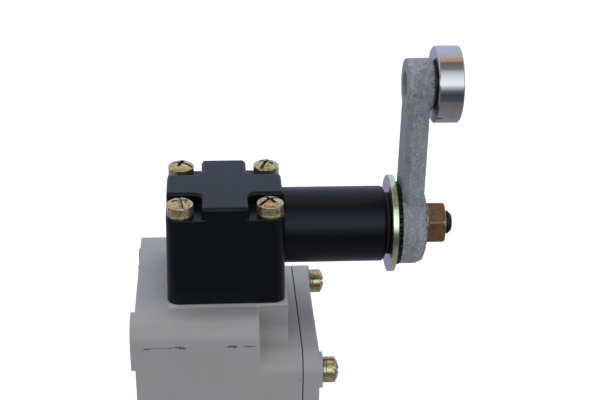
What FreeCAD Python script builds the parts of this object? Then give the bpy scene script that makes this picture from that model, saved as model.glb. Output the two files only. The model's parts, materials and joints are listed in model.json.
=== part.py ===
import FreeCAD, Part
import Sketcher
import os
import re

# Rotary-lever limit switch: a die-cast body with a bolted front cover, a bolted head on top, and a
# shaft that leaves the head forwards and carries a roller lever.
# Frame: origin at the centre of the four fixing holes, on the mounting plane. +X points forwards
# along the lever shaft, +Z up along the raised lever, +Y to the left seen from behind the body.
# Inside the head a crank pin on the shaft lifts or lowers a plunger, whose contact bridge closes
# the upper pair of fixed contacts one way and the lower pair the other way.

VALUES = {
    # body casting
    "body_width": 49.6,
    "body_height": 72.6,
    "body_back": 1.0,
    "body_front": 40.6,
    "outer_radius": 5.4,
    "foot_width": 7.8,
    "foot_height": 11.5,
    "boss_front": 30.3,
    "platform_front": 37.6,
    "platform_width": 29.8,
    "shoulder_drop": 9.2,
    "shoulder_fillet": 4.0,
    "edge_fillet": 0.6,
    "fixing_width": 39.0,
    "fixing_height": 62.0,
    "fixing_hole_dia": 5.4,
    "cavity_back": 4.9,
    "cavity_width": 42.0,
    "cavity_short_height": 33.0,
    "cavity_short_width": 28.6,
    "cavity_height": 47.0,
    "entry_dia": 18.4,
    "entry_x": 18.0,
    "stem_bore_dia": 9.0,
    # cover
    "gasket_gap": 0.25,
    "gasket_inset": 0.25,
    "cover_thickness": 3.95,
    "cover_pad": 0.7,
    "cover_pad_dia": 8.8,
    "cover_radius": 5.7,
    "cover_screw_width": 43.0,
    "cover_screw_height": 43.4,
    # screws
    "screw_dia": 3.9,
    "screw_clearance": 0.15,
    "screw_head_dia": 6.3,
    "screw_head_height": 3.15,
    "screw_washer": 0.9,
    "screw_washer_dia": 6.2,
    "cover_screw_length": 13.0,
    "head_screw_length": 31.0,
    "screw_slot": 0.95,
    "screw_slot_depth": 1.15,
    # head
    "head_size": 28.4,
    "head_taper": -0.9,
    "head_back": 8.6,
    "head_height": 25.3,
    "head_radius": 3.0,
    "head_edge": 0.8,
    "head_foot_edge": 0.3,
    "notch_floor": 22.2,
    "bar_width": 10.9,
    "notch_radius": 2.2,
    "bar_radius": 1.2,
    "head_screw_spacing": 21.0,
    "chamber_width": 16.0,
    "chamber_height": 21.3,
    "shaft_height": 13.85,
    "spigot_dia": 14.8,
    "spigot_gap": 0.4,
    "wall_draft": 0.2,
    # sleeve, shaft and what sits on it
    "sleeve_dia": 18.5,
    "sleeve_end": 61.65,
    "sleeve_rounding": 1.0,
    "bush_outer_dia": 12.0,
    "bush_length": 9.5,
    "shaft_dia": 8.0,
    "spline_dia": 7.0,
    "thread_dia": 5.7,
    "running_gap": 0.05,
    "shaft_end": 78.5,
    "disc_dia": 13.0,
    "disc_thick": 2.0,
    "disc_back": 22.3,
    "crank_radius": 3.0,
    "crank_dia": 3.0,
    "crank_length": 4.8,
    "seal_dia": 15.2,
    "washer_back": 62.65,
    "washer_thick": 1.3,
    "washer_dia": 23.8,
    "tooth_washer_dia": 20.4,
    "tooth_count": 30,
    # lever
    "hub_length": 6.2,
    "hub_dia": 20.0,
    "hub_chamfer": 2.2,
    "hub_knee": 0.65,
    "hub_teeth": 30,
    "tooth_width": 1.0,
    "tooth_depth": 0.65,
    "tooth_length": 2.6,
    "arm_back": 65.3,
    "arm_thick": 5.0,
    "arm_top_width": 11.0,
    "arm_low_width": 13.0,
    "arm_chamfer": 1.2,
    "boss_length": 5.85,
    "boss_dia": 12.3,
    "boss_back": 0.3,
    "boss_rounding": 0.3,
    "lever_radius": 36.05,
    "nut_flats": 9.5,
    "nut_thick": 4.25,
    "lock_washer": 0.8,
    "roller_dia": 17.8,
    "roller_back": 71.55,
    "roller_width": 5.85,
    "roller_bore": 9.2,
    "pin_dia": 4.6,
    # plunger and contacts
    "yoke_back": 17.0,
    "yoke_thick": 4.0,
    "yoke_height": 9.0,
    "yoke_left": 7.0,
    "yoke_right": 5.5,
    "slot_height": 3.7,
    "slot_left": 5.3,
    "slot_right": -0.4,
    "stem_dia": 4.0,
    "block_front": 27.0,
    "block_width": 27.0,
    "block_height": 28.0,
    "well_back": 12.0,
    "well_width": 19.6,
    "well_height": 18.0,
    "strip_width": 5.0,
    "strip_thick": 1.2,
    "contact_gap": 2.5,
    "tip_dia": 3.0,
    "tip_height": 0.8,
    "tip_place": 7.0,
    "bridge_length": 17.0,
    "finger_start": 5.5,
    "finger_slot_start": 4.9,
    "terminal_width": 5.5,
    "terminal_out": 20.0,
    "terminal_rise": 7.8,
    "spring_wire": 0.6,
    "torsion_wire": 1.0,
    "torsion_turns": 4.25,
    "torsion_radius": 5.2,
    "torsion_pitch": 1.1,
    "torsion_back": 25.0,
    "torsion_leg": 6.0,
    "contact_spring_radius": 3.0,
    "contact_spring_pitch": 1.2,
    "contact_spring_length": 3.6,
    "collar_place": 5.6,
    "collar_thick": 0.7,
    "collar_dia": 7.6,
    "guide_flange": 1.2,
    "guide_flange_dia": 12.0,
    "stem_foot": 12.5,
    "cap_thick": 2.0,
    "block_screw_y": 8.0,
    "block_screw_z": 11.5,
    "small_screw_dia": 2.9,
    "small_head_dia": 5.2,
    "small_head_height": 1.8,
    "small_washer_dia": 6.2,
    "terminal_screw_length": 8.0,
    "block_screw_length": 26.0,
    "block_tap_depth": 2.4,
    "clamp_size": 5.3,
    "clamp_thick": 1.0,
    "earth_y": 17.5,
    "earth_boss_dia": 7.0,
    "earth_boss": 4.0,
    "earth_length": 5.0,
    "easy_gap": 0.1,
    "recess_depth": 1.5,
    "overshoot": 1.0,
    "dome_ratio": 0.8,
    "cross_ratio": 0.6,
    "seal_width": 1.2,
    "seal_thick": 1.0,
    "seal_depth": 0.9,
    "seal_lip": 0.85,
    "seal_clearance": 0.15,
    "spring_clearance": 0.2,
    "stem_clearance": 0.3,
    "thrust_thick": 0.6,
    "thread_chamfer": 0.8,
    "tooth_gap_dia": 1.1,
    "lock_washer_dia": 10.4,
    "nut_cone_base": 0.72,
    "nut_cone_top": 1.06,
    "pin_sink_dia": 6.0,
    "pin_sink_depth": 0.8,
    "pin_head": 1.0,
    "pin_head_dia": 8.4,
    "roller_chamfer": 0.25,
}

doc = FreeCAD.newDocument("limit_switch")
sheet = doc.addObject("Spreadsheet::Sheet", "dims")
for row, (alias, number) in enumerate(VALUES.items(), start=1):
    sheet.set(f"A{row}", alias)
    sheet.set(f"B{row}", str(number))
    sheet.setAlias(f"B{row}", alias)
doc.recompute()

WORD = re.compile(r"[a-z][a-z_]+")
TURN = {
    "x": FreeCAD.Rotation(FreeCAD.Vector(0, 1, 0), 90),
    "z": FreeCAD.Rotation(),
}
parts = []
SMALL = 1e-4
NUT_SPIN = 4.7
SLOT_ANGLES = {
    "cover": (15.0, 70.0, -35.0, 50.0),
    "head": (100.0, -20.0, 35.0, 65.0),
    "terminal": (-110.0, 70.0, -70.0, 110.0),
    "block": (0.0, 35.0),
    "earth": 60.0,
}

# Heights and depths that several pieces share, as expressions on the sheet.
TOP = "body_height / 2"
SHOULDER = "body_height / 2 - shoulder_drop"
SHAFT_Z = "body_height / 2 + shaft_height"
ROLLER_Z = "body_height / 2 + shaft_height + lever_radius"
HEAD_X = "head_back + head_size / 2"
HEAD_FRONT = "head_back + head_size - wall_draft"
STEM_X = "yoke_back + yoke_thick / 2"
COVER_BACK = "body_front + gasket_gap"
COVER_FRONT = "body_front + gasket_gap + cover_thickness"
FINGER_Z = "strip_thick / 2 + tip_height * 2 + contact_gap"


def bound(text):
    """An expression in plain aliases, with each alias read from the sheet."""
    return WORD.sub(lambda m: f"dims.{m.group()}" if m.group() in VALUES else m.group(), str(text))


def number(text):
    """The value of such an expression."""
    result = sheet.evalExpression(bound(text))
    return float(getattr(result, "Value", result))


def put(item, at, axis="z", spin=0.0):
    """Turn an object to an axis, with some spin about it, and bind its place."""
    about = FreeCAD.Rotation(FreeCAD.Vector(0, 0, 1), spin)
    item.Placement = FreeCAD.Placement(FreeCAD.Vector(), TURN[axis].multiply(about))
    for letter, text in zip("xyz", at):
        item.setExpression("Placement.Base." + letter, bound(text))
    return item


def primitive(kind, name, at, axis="z", **sizes):
    item = doc.addObject("Part::" + kind, name)
    for prop, text in sizes.items():
        item.setExpression(prop, bound(text))
    return put(item, at, axis)


def rod(name, dia, length, at, axis="z"):
    return primitive("Cylinder", name, at, axis, Radius=f"({dia}) / 2", Height=length)


def block(name, size, at):
    """A box from its lowest corner."""
    return primitive("Box", name, at, Length=size[0], Width=size[1], Height=size[2])


def centred(name, size, at):
    """A box centred in Y, from its lowest X and Z."""
    return block(name, size, (at[0], f"{at[1]} - ({size[1]}) / 2", at[2]))


def fuse(name, *items):
    result = doc.addObject("Part::MultiFuse", name)
    result.Shapes = list(items)
    return result


def cut(name, base, *tools):
    result = doc.addObject("Part::Cut", name)
    result.Base = base
    result.Tool = tools[0] if len(tools) == 1 else fuse(name + "_tools", *tools)
    return result


def group(name, items):
    result = doc.addObject("Part::Compound", name)
    result.Links = list(items)
    return result


def tube(name, outer, inner, length, at, axis="x"):
    return cut(
        name,
        rod(name + "_outer", outer, length, at, axis),
        rod(name + "_inner", inner, length, at, axis),
    )


def keep(item, label):
    item.Label = label
    parts.append(item)
    return item


def corners(width, height):
    """The four corners of a rectangle centred on the origin, as expressions."""
    return [(f"{y} * {width} / 2", f"{z} * {height} / 2") for y in (-1, 1) for z in (-1, 1)]


# PartDesign helpers. Sketches are drawn on the body's own origin planes.

def new_body(name, at=("0", "0", "0"), turn=None):
    body = doc.addObject("PartDesign::Body", name)
    if turn:
        body.Placement = FreeCAD.Placement(FreeCAD.Vector(), turn)
    for letter, text in zip("xyz", at):
        body.setExpression("Placement.Base." + letter, bound(text))
    return body


def new_sketch(body, name, role, offset="0"):
    sketch = body.newObject("Sketcher::SketchObject", name)
    origin_plane = next(f for f in body.Origin.OriginFeatures if f.Role == role)
    sketch.AttachmentSupport = [(origin_plane, "")]
    sketch.MapMode = "FlatFace"
    sketch.setExpression("AttachmentOffset.Base.z", bound(offset))
    return sketch


def dimension(sketch, kind, *where, text):
    index = sketch.addConstraint(Sketcher.Constraint(kind, *where, number(text)))
    sketch.setExpression(f"Constraints[{index}]", bound(text))


def draw_outline(sketch, corner_texts):
    """A closed outline of straight lines, with both coordinates of every corner bound."""
    points = [FreeCAD.Vector(number(x), number(y)) for x, y in corner_texts]
    first = sketch.GeometryCount
    count = len(points)
    for i in range(count):
        sketch.addGeometry(Part.LineSegment(points[i], points[(i + 1) % count]), False)
    for i in range(count):
        following = first + (i + 1) % count
        sketch.addConstraint(Sketcher.Constraint("Coincident", first + i, 2, following, 1))
    for i, (x, y) in enumerate(corner_texts):
        dimension(sketch, "DistanceX", -1, 1, first + i, 1, text=x)
        dimension(sketch, "DistanceY", -1, 1, first + i, 1, text=y)


def draw_rectangle(sketch, left, low, right, high):
    draw_outline(sketch, [(left, low), (right, low), (right, high), (left, high)])


def draw_centred(sketch, width, height):
    draw_rectangle(
        sketch, f"-({width}) / 2", f"-({height}) / 2", f"({width}) / 2", f"({height}) / 2"
    )


def draw_circle(sketch, dia, across, up):
    centre = FreeCAD.Vector(number(across), number(up))
    index = sketch.addGeometry(Part.Circle(centre, FreeCAD.Vector(0, 0, 1), number(dia) / 2), False)
    dimension(sketch, "Diameter", index, text=dia)
    dimension(sketch, "DistanceX", -1, 1, index, 3, text=across)
    dimension(sketch, "DistanceY", -1, 1, index, 3, text=up)


def feature(body, kind, sketch, length, reverse=False, taper=None):
    """A pad or a pocket that has to change the body's volume."""
    doc.recompute()
    before = body.Shape.Volume if not body.Shape.isNull() else 0.0
    item = body.newObject("PartDesign::" + kind, f"{sketch.Name}_{kind}")
    item.Profile = sketch
    item.Reversed = reverse
    item.setExpression("Length", bound(length))
    if taper:
        item.setExpression("TaperAngle", bound(taper))
    doc.recompute()
    if abs(body.Shape.Volume - before) < SMALL:
        raise RuntimeError(f"{item.Name} changed nothing")
    return item


def pad(body, sketch, length, **options):
    return feature(body, "Pad", sketch, length, **options)


def pocket(body, sketch, length, **options):
    return feature(body, "Pocket", sketch, length, **options)


def dress(body, kind, name, size, wanted):
    """A fillet or chamfer on the edges of the tip that the wanted function picks."""
    base = body.Tip
    edges = [f"Edge{i}" for i, e in enumerate(base.Shape.Edges, 1) if wanted(e)]
    if not edges:
        raise RuntimeError(f"{name} finds no edge")
    item = body.newObject("PartDesign::" + kind, name)
    item.Base = (base, edges)
    item.setExpression("Radius" if kind == "Fillet" else "Size", bound(size))
    doc.recompute()
    if "Invalid" in item.State:
        raise RuntimeError(f"{name} failed")


def straight(edge, axis):
    """True for a straight edge parallel to the given axis."""
    if "Line" not in edge.Curve.TypeId:
        return False
    way = edge.Vertexes[-1].Point - edge.Vertexes[0].Point
    return abs(getattr(way.normalize(), axis)) > 1 - SMALL


def near(value, text):
    return abs(value - number(text)) < SMALL


def on_plane(edge, axis, text):
    """True for an edge whose corners all lie at one coordinate."""
    return all(near(getattr(v.Point, axis), text) for v in edge.Vertexes)


def round_edge(edge, place, radius):
    """True for a full circle about the X axis at one place along it."""
    return len(edge.Vertexes) == 1 and on_plane(edge, "x", place) and near(edge.Curve.Radius, radius)


def repeat_round(body, item, sketch, count):
    """A polar pattern of a feature about its sketch's normal."""
    pattern = body.newObject("PartDesign::PolarPattern", item.Name + "_round")
    pattern.Originals = [item]
    pattern.Axis = (sketch, ["N_Axis"])
    pattern.Angle = 360.0
    pattern.setExpression("Occurrences", bound(count))
    body.Tip = pattern
    doc.recompute()


def revolve(body, name, profile, rise="0"):
    """Add a turned shape: the profile's points are (place along X, radius about its axis)."""
    sketch = new_sketch(body, name + "_profile", "XZ_Plane")
    sketch.setExpression("AttachmentOffset.Base.y", bound(rise))
    draw_outline(sketch, profile)
    doc.recompute()
    item = body.newObject("PartDesign::Revolution", name + "_turned")
    item.Profile = sketch
    item.ReferenceAxis = (sketch, ["H_Axis"])
    item.Angle = 360.0
    doc.recompute()


def turned(name, profile, at, along="x"):
    """A piece turned on a lathe, as a body of its own."""
    upright = FreeCAD.Rotation(FreeCAD.Vector(0, 1, 0), -90)
    body = new_body(name, at, upright if along == "z" else None)
    revolve(body, name, profile)
    return keep(body, name)


def ring(name, start, length, outer, inner, at, along="x"):
    """A plain turned ring, from its diameters."""
    end = f"{start} + {length}"
    inside = f"({inner}) / 2"
    outside = f"({outer}) / 2"
    return turned(
        name, [(start, inside), (end, inside), (end, outside), (start, outside)], at, along
    )


# The body casting, its cover and the gasket between them.

def cavity_sketches(body, name, offset):
    """The cavity's outline is a cross, which leaves a solid corner round each cover screw."""
    for suffix, width, height in (
        ("wide", "cavity_width", "cavity_short_height"),
        ("tall", "cavity_short_width", "cavity_height"),
    ):
        sketch = new_sketch(body, f"{name}_{suffix}", "YZ_Plane", offset)
        draw_centred(sketch, width, height)
        yield sketch


def circles(body, name, offset, dia, places, role="YZ_Plane"):
    sketch = new_sketch(body, name, role, offset)
    for across, up in places:
        draw_circle(sketch, dia, across, up)
    return sketch


def outer_x_edge(edge, height):
    """An edge along X at a corner of the outline with the given half height."""
    point = edge.Vertexes[0].Point
    return straight(edge, "x") and near(abs(point.y), "body_width / 2") and near(abs(point.z), height)


def head_corners():
    return [(f"{HEAD_X} + {x}", z) for x, z in corners("head_screw_spacing", "head_screw_spacing")]


def make_housing():
    body = new_body("housing_body")
    flange = new_sketch(body, "flange", "YZ_Plane", "body_back")
    draw_centred(flange, "body_width", "body_height - 2 * shoulder_drop")
    pad(body, flange, "body_front - body_back")
    rear = new_sketch(body, "rear", "YZ_Plane", "body_back")
    draw_centred(rear, "body_width", "body_height")
    pad(body, rear, "boss_front - body_back")
    platform = new_sketch(body, "platform", "YZ_Plane", "body_back")
    draw_centred(platform, "platform_width", "body_height")
    pad(body, platform, "platform_front - body_back")
    feet = new_sketch(body, "feet", "YZ_Plane")
    for y in (-1, 1):
        for z in (-1, 1):
            end = f"({TOP} - outer_radius)" if y == z else f"({TOP})"
            sides = sorted((f"{y} * body_width / 2", f"{y} * (body_width / 2 - foot_width)"), key=number)
            levels = sorted((f"{z} * {end}", f"{z} * ({end} - foot_height)"), key=number)
            draw_rectangle(feet, sides[0], levels[0], sides[1], levels[1])
    pad(body, feet, "body_back")
    dress(body, "Fillet", "rear_corners", "outer_radius", lambda e: outer_x_edge(e, TOP))
    dress(body, "Fillet", "flange_corners", "cover_radius", lambda e: outer_x_edge(e, SHOULDER))
    dress(
        body, "Fillet", "shoulder_roots", "shoulder_fillet",
        lambda e: straight(e, "x") and near(abs(e.Vertexes[0].Z), SHOULDER)
        and near(abs(e.Vertexes[0].Y), "platform_width / 2"),
    )
    dress(
        body, "Fillet", "boss_ends", "edge_fillet",
        lambda e: on_plane(e, "x", "boss_front") and max(abs(v.Z) for v in e.Vertexes) > number(SHOULDER),
    )
    dress(
        body, "Fillet", "platform_end", "edge_fillet",
        lambda e: on_plane(e, "x", "platform_front") and near(abs(e.Vertexes[0].Z), TOP)
        and straight(e, "y"),
    )
    for sketch in cavity_sketches(body, "cavity", "body_front"):
        pocket(body, sketch, "body_front - cavity_back")
    earth = circles(body, "earth_boss", "cavity_back", "earth_boss_dia", [("-earth_y", "0")])
    pad(body, earth, "earth_boss")
    holes = circles(
        body, "fixing_bores", "boss_front", "fixing_hole_dia", corners("fixing_width", "fixing_height")
    )
    pocket(body, holes, "boss_front")
    tapped = "screw_dia + screw_clearance"
    holes = circles(
        body, "cover_taps", "body_front", tapped, corners("cover_screw_width", "cover_screw_height")
    )
    pocket(body, holes, "cover_screw_length")
    holes = circles(body, "head_taps", TOP, tapped, head_corners(), "XY_Plane")
    pocket(body, holes, "head_screw_length - notch_floor")
    small_tap = "small_screw_dia + screw_clearance"
    holes = circles(body, "block_taps", "cavity_back", small_tap, block_screw_places())
    pocket(body, holes, "block_tap_depth")
    holes = circles(body, "earth_tap", "cavity_back + earth_boss", small_tap, [("-earth_y", "0")])
    pocket(body, holes, "earth_length")
    bore = circles(body, "stem_bore", TOP, "stem_bore_dia", [(STEM_X, "0")], "XY_Plane")
    pocket(body, bore, "(body_height - cavity_height) / 2")
    entry = circles(body, "cable_bore", f"-{TOP}", "entry_dia", [("entry_x", "0")], "XY_Plane")
    pocket(body, entry, "(body_height - cavity_height) / 2", reverse=True)
    keep(body, "body_housing")


def rounded_plate(name, start, thickness, inset):
    """A plate with the flange's outline, smaller all round by the inset."""
    body = new_body(name + "_body")
    outline = new_sketch(body, name + "_outline", "YZ_Plane", start)
    height = "body_height - 2 * shoulder_drop"
    draw_centred(outline, f"body_width - 2 * {inset}", f"{height} - 2 * {inset}")
    pad(body, outline, thickness)
    dress(body, "Fillet", name + "_corners", f"cover_radius - {inset}", lambda e: straight(e, "x"))
    return body


def make_cover():
    """A plate with a raised pad under each screw, trimmed to the flange's outline."""
    body = rounded_plate("cover", COVER_BACK, "cover_thickness", "0")
    dress(body, "Fillet", "cover_edge", "edge_fillet", lambda e: on_plane(e, "x", COVER_FRONT))
    places = corners("cover_screw_width", "cover_screw_height")
    pads = circles(body, "cover_pads", COVER_FRONT + " - edge_fillet", "cover_pad_dia", places)
    pad(body, pads, "cover_pad + edge_fillet")
    for sketch in cavity_sketches(body, "cover_recess", COVER_BACK):
        pocket(body, sketch, "recess_depth", reverse=True)
    holes = circles(body, "cover_holes", COVER_BACK, "screw_dia + 2 * screw_clearance", places)
    pocket(body, holes, "cover_thickness + cover_pad", reverse=True)
    trimmed = doc.addObject("Part::Common", "cover_trimmed")
    trimmed.Base = body
    trimmed.Tool = rounded_plate("trim", COVER_BACK, "cover_thickness + cover_pad", "0")
    keep(trimmed, "body_cover")


def make_gasket():
    body = rounded_plate("gasket", "body_front", "gasket_gap", "gasket_inset")
    for sketch in cavity_sketches(body, "gasket_window", "body_front"):
        pocket(body, sketch, "gasket_gap", reverse=True)
    holes = circles(
        body, "gasket_holes", "body_front", "screw_dia + 2 * screw_clearance",
        corners("cover_screw_width", "cover_screw_height"),
    )
    pocket(body, holes, "gasket_gap", reverse=True)
    keep(body, "cover_gasket")


# Fasteners. Each is built upright with its seat at the origin and then placed.

def slotted_screw(name, dia, length, head_dia, head_height, lift, at, axis, spin):
    """A screw with a domed head, a slot and a shorter cross slot. Lift is a washer's thickness."""
    shank = rod(name + "_shank", dia, length, ("0", "0", f"{lift} - {length}"))
    disc = rod(name + "_disc", head_dia, head_height, ("0", "0", lift))
    dome = primitive(
        "Sphere", name + "_dome", ("0", "0", f"{lift} + {head_height} - {head_dia} * dome_ratio"),
        Radius=f"{head_dia} * dome_ratio",
    )
    head = doc.addObject("Part::Common", name + "_head")
    head.Base = disc
    head.Tool = dome
    slots = []
    for suffix, long_way, wide_way in (
        ("slot", head_dia, "screw_slot"),
        ("cross", "screw_slot", f"{head_dia} * cross_ratio"),
    ):
        floor = f"{lift} + {head_height} - screw_slot_depth"
        low = (f"-({long_way}) / 2", f"-({wide_way}) / 2", floor)
        slots.append(block(f"{name}_{suffix}", (long_way, wide_way, head_height), low))
    return put(cut(name, fuse(name + "_solid", shank, head), *slots), at, axis, spin)


def split_washer(name, at, axis, spin):
    """A spring washer: a flat ring with one slit."""
    whole = tube(
        name + "_ring", "screw_washer_dia", "screw_dia + 2 * screw_clearance", "screw_washer",
        ("0", "0", "0"), "z",
    )
    slit = block(
        name + "_slit", ("screw_washer_dia", "screw_slot / 2", "screw_washer"),
        ("0", "-screw_slot / 4", "0"),
    )
    return put(cut(name, whole, slit), at, axis, spin)


def make_case_screws():
    """The head's and the cover's screws share one size; no two slots stop at the same angle."""
    cover_seat = COVER_FRONT + " + cover_pad"
    head_seat = TOP + " + notch_floor"
    places = corners("cover_screw_width", "cover_screw_height")
    sets = (
        ("cover", [(cover_seat, y, z) for y, z in places], "x", "cover_screw_length"),
        ("head", [(x, y, head_seat) for x, y in head_corners()], "z", "head_screw_length"),
    )
    for name, seats, axis, length in sets:
        screws = []
        washers = []
        for i, at in enumerate(seats):
            spin = SLOT_ANGLES[name][i]
            screws.append(slotted_screw(
                f"{name}_screw_{i}", "screw_dia", length, "screw_head_dia", "screw_head_height",
                "screw_washer", at, axis, spin,
            ))
            washers.append(split_washer(f"{name}_washer_{i}", at, axis, spin))
        keep(group(name + "_screw_set", screws), name + "_screws")
        keep(group(name + "_washer_set", washers), name + "_spring_washers")


# The head.

def bar_end(edge):
    """True for an upright edge at the end of one of the head's two crossing bars."""
    levels = [v.Z for v in edge.Vertexes]
    if abs(max(levels) - min(levels)) < SMALL or not near(min(levels), TOP + " + notch_floor"):
        return False
    inner, outer = sorted((abs(edge.Vertexes[0].X - number(HEAD_X)), abs(edge.Vertexes[0].Y)))
    return near(inner, "bar_width / 2") and outer > number("head_screw_spacing / 2")


def make_head():
    body = new_body("head_body")
    outline = new_sketch(body, "head_outline", "XY_Plane", TOP)
    draw_rectangle(
        outline, "head_back", "-head_size / 2", "head_back + head_size", "head_size / 2"
    )
    pad(body, outline, "head_height", taper="head_taper")
    dress(
        body, "Fillet", "head_corners", "head_radius",
        lambda e: not on_plane(e, "z", TOP) and not on_plane(e, "z", TOP + " + head_height"),
    )
    notches = new_sketch(body, "notches", "XY_Plane", TOP + " + head_height")
    for x in (-1, 1):
        for y in (-1, 1):
            across = sorted((f"{HEAD_X} + {x} * bar_width / 2", f"{HEAD_X} + {x} * head_size"), key=number)
            ways = sorted((f"{y} * bar_width / 2", f"{y} * head_size"), key=number)
            draw_rectangle(notches, across[0], ways[0], across[1], ways[1])
    pocket(body, notches, "head_height - notch_floor")
    dress(
        body, "Fillet", "notch_corners", "notch_radius",
        lambda e: straight(e, "z") and near(abs(e.Vertexes[0].Y), "bar_width / 2")
        and near(abs(e.Vertexes[0].X - number(HEAD_X)), "bar_width / 2"),
    )
    dress(body, "Fillet", "bar_corners", "bar_radius", bar_end)
    dress(
        body, "Fillet", "head_top_edge", "head_edge",
        lambda e: on_plane(e, "z", TOP + " + head_height"),
    )
    dress(body, "Fillet", "head_foot", "head_foot_edge", lambda e: on_plane(e, "z", TOP))
    chamber = new_sketch(body, "chamber", "XY_Plane", TOP)
    half = "chamber_width / 2"
    draw_rectangle(chamber, f"{HEAD_X} - {half}", f"-{half}", f"{HEAD_X} + {half}", half)
    pocket(body, chamber, "chamber_height", reverse=True)
    spigot = circles(
        body, "spigot_bore", "head_back + head_size + overshoot", "spigot_dia + 2 * easy_gap",
        [("0", SHAFT_Z)],
    )
    pocket(body, spigot, "(head_size - chamber_width) / 2 + 2 * overshoot")
    holes = circles(
        body, "head_holes", TOP, "screw_dia + 2 * screw_clearance", head_corners(), "XY_Plane"
    )
    pocket(body, holes, "head_height", reverse=True)
    groove = new_sketch(body, "seal_groove", "XY_Plane", TOP)
    outer = "(chamber_width / 2 + seal_width)"
    draw_rectangle(groove, f"{HEAD_X} - {outer}", f"-{outer}", f"{HEAD_X} + {outer}", outer)
    pocket(body, groove, "seal_thick", reverse=True)
    keep(body, "head_housing")


def make_head_seal():
    """A flat rubber frame in the recess under the head."""
    outer = "chamber_width + 2 * seal_width - 2 * easy_gap"
    at = (f"{HEAD_X} - ({outer}) / 2", f"-({outer}) / 2", TOP)
    whole = block("head_seal_sheet", (outer, outer, "seal_thick"), at)
    inner = "chamber_width"
    at = (f"{HEAD_X} - {inner} / 2", f"-{inner} / 2", TOP)
    window = block("head_seal_window", (inner, inner, "seal_thick"), at)
    keep(cut("head_seal_frame", whole, window), "head_gasket")


# The shaft, its sleeve and bearings, and what is clamped on its end.

ON_SHAFT = ("0", "0", SHAFT_Z)
SPIGOT_BACK = "head_back + (head_size + chamber_width) / 2 + spigot_gap"


def make_sleeve():
    bore = "bush_outer_dia / 2"
    outside = "sleeve_dia / 2"
    recess = "seal_dia / 2 + easy_gap"
    body = turned("bearing_sleeve", [
        (SPIGOT_BACK, bore),
        ("sleeve_end - seal_depth", bore),
        ("sleeve_end - seal_depth", recess),
        ("sleeve_end", recess),
        ("sleeve_end", outside),
        (HEAD_FRONT, outside),
        (HEAD_FRONT, "spigot_dia / 2"),
        (SPIGOT_BACK, "spigot_dia / 2"),
    ], ON_SHAFT)
    dress(body, "Fillet", "sleeve_rim", "sleeve_rounding", lambda e: round_edge(e, "sleeve_end", outside))
    shaft_bore = "shaft_dia + 2 * running_gap"
    ring("inner_bush", SPIGOT_BACK, "bush_length", "bush_outer_dia - easy_gap", shaft_bore, ON_SHAFT)
    ring(
        "outer_bush", "sleeve_end - seal_depth - bush_length", "bush_length",
        "bush_outer_dia - easy_gap", shaft_bore, ON_SHAFT,
    )
    ring(
        "shaft_seal", "sleeve_end - seal_depth", "seal_depth + seal_lip", "seal_dia",
        "shaft_dia + 2 * seal_clearance", ON_SHAFT,
    )
    ring(
        "thrust_washer", f"{SPIGOT_BACK} - thrust_thick - easy_gap", "thrust_thick",
        "bush_outer_dia - easy_gap", shaft_bore, ON_SHAFT,
    )


def make_shaft():
    body = turned("operating_shaft", [
        ("disc_back", "0"),
        ("shaft_end", "0"),
        ("shaft_end", "thread_dia / 2 - thread_chamfer"),
        ("shaft_end - thread_chamfer", "thread_dia / 2"),
        ("arm_back + hub_length", "thread_dia / 2"),
        ("arm_back + hub_length", "spline_dia / 2"),
        ("arm_back", "spline_dia / 2"),
        ("arm_back", "shaft_dia / 2"),
        ("disc_back + disc_thick", "shaft_dia / 2"),
        ("disc_back + disc_thick", "disc_dia / 2"),
        ("disc_back", "disc_dia / 2"),
    ], ON_SHAFT)
    holes = new_sketch(body, "disc_holes", "YZ_Plane", "disc_back")
    draw_circle(holes, "crank_dia + 2 * easy_gap", "crank_radius", "0")
    draw_circle(holes, "torsion_wire + 2 * spring_clearance", "0", "-torsion_radius")
    pocket(body, holes, "disc_thick", reverse=True)
    crank_back = "disc_back - crank_length"
    keep(
        rod("crank_rod", "crank_dia", "crank_length + disc_thick",
            (crank_back, "crank_radius", SHAFT_Z), "x"),
        "crank_pin",
    )


def make_washers():
    loose = "shaft_dia + 2 * easy_gap"
    ring("dust_washer", "washer_back", "washer_thick", "washer_dia", loose, ON_SHAFT)
    body = ring(
        "toothed_washer", "washer_back + washer_thick",
        "arm_back - washer_back - washer_thick", "tooth_washer_dia", loose, ON_SHAFT,
    )
    gap = circles(
        body, "tooth_gap", "arm_back", "tooth_gap_dia", [("0", "tooth_washer_dia / 2")]
    )
    notch = pocket(body, gap, "washer_thick")
    repeat_round(body, notch, gap, "tooth_count")
    hub_front = "arm_back + hub_length"
    keep(
        cut(
            "lock_ring",
            tube("lock_flat", "lock_washer_dia", "thread_dia + 2 * easy_gap", "lock_washer",
                 (hub_front, "0", SHAFT_Z)),
            block("lock_slit", ("lock_washer", "lock_washer_dia", "screw_slot"),
                  (hub_front, "0", f"{SHAFT_Z} - screw_slot / 2")),
        ),
        "lock_washer",
    )


def make_nut():
    """A hexagon whose corners are rounded off by a cone at the outer end."""
    start = "arm_back + hub_length + lock_washer"
    corner_radius = "nut_flats / sqrt(3)"
    at = (start, "0", SHAFT_Z)
    prism = primitive(
        "Prism", "nut_prism", ("0", "0", "0"), Circumradius=corner_radius, Height="nut_thick"
    )
    prism.Polygon = 6
    put(prism, at, "x", NUT_SPIN)
    cone = primitive(
        "Cone", "nut_cone", at, "x", Radius1="nut_flats * nut_cone_base",
        Radius2="nut_flats / 2 * nut_cone_top", Height="nut_thick",
    )
    solid = doc.addObject("Part::Common", "nut_solid")
    solid.Base = prism
    solid.Tool = cone
    bore = rod("nut_bore", "thread_dia + easy_gap", "nut_thick", at, "x")
    keep(cut("nut_cut", solid, bore), "lever_nut")


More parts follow.
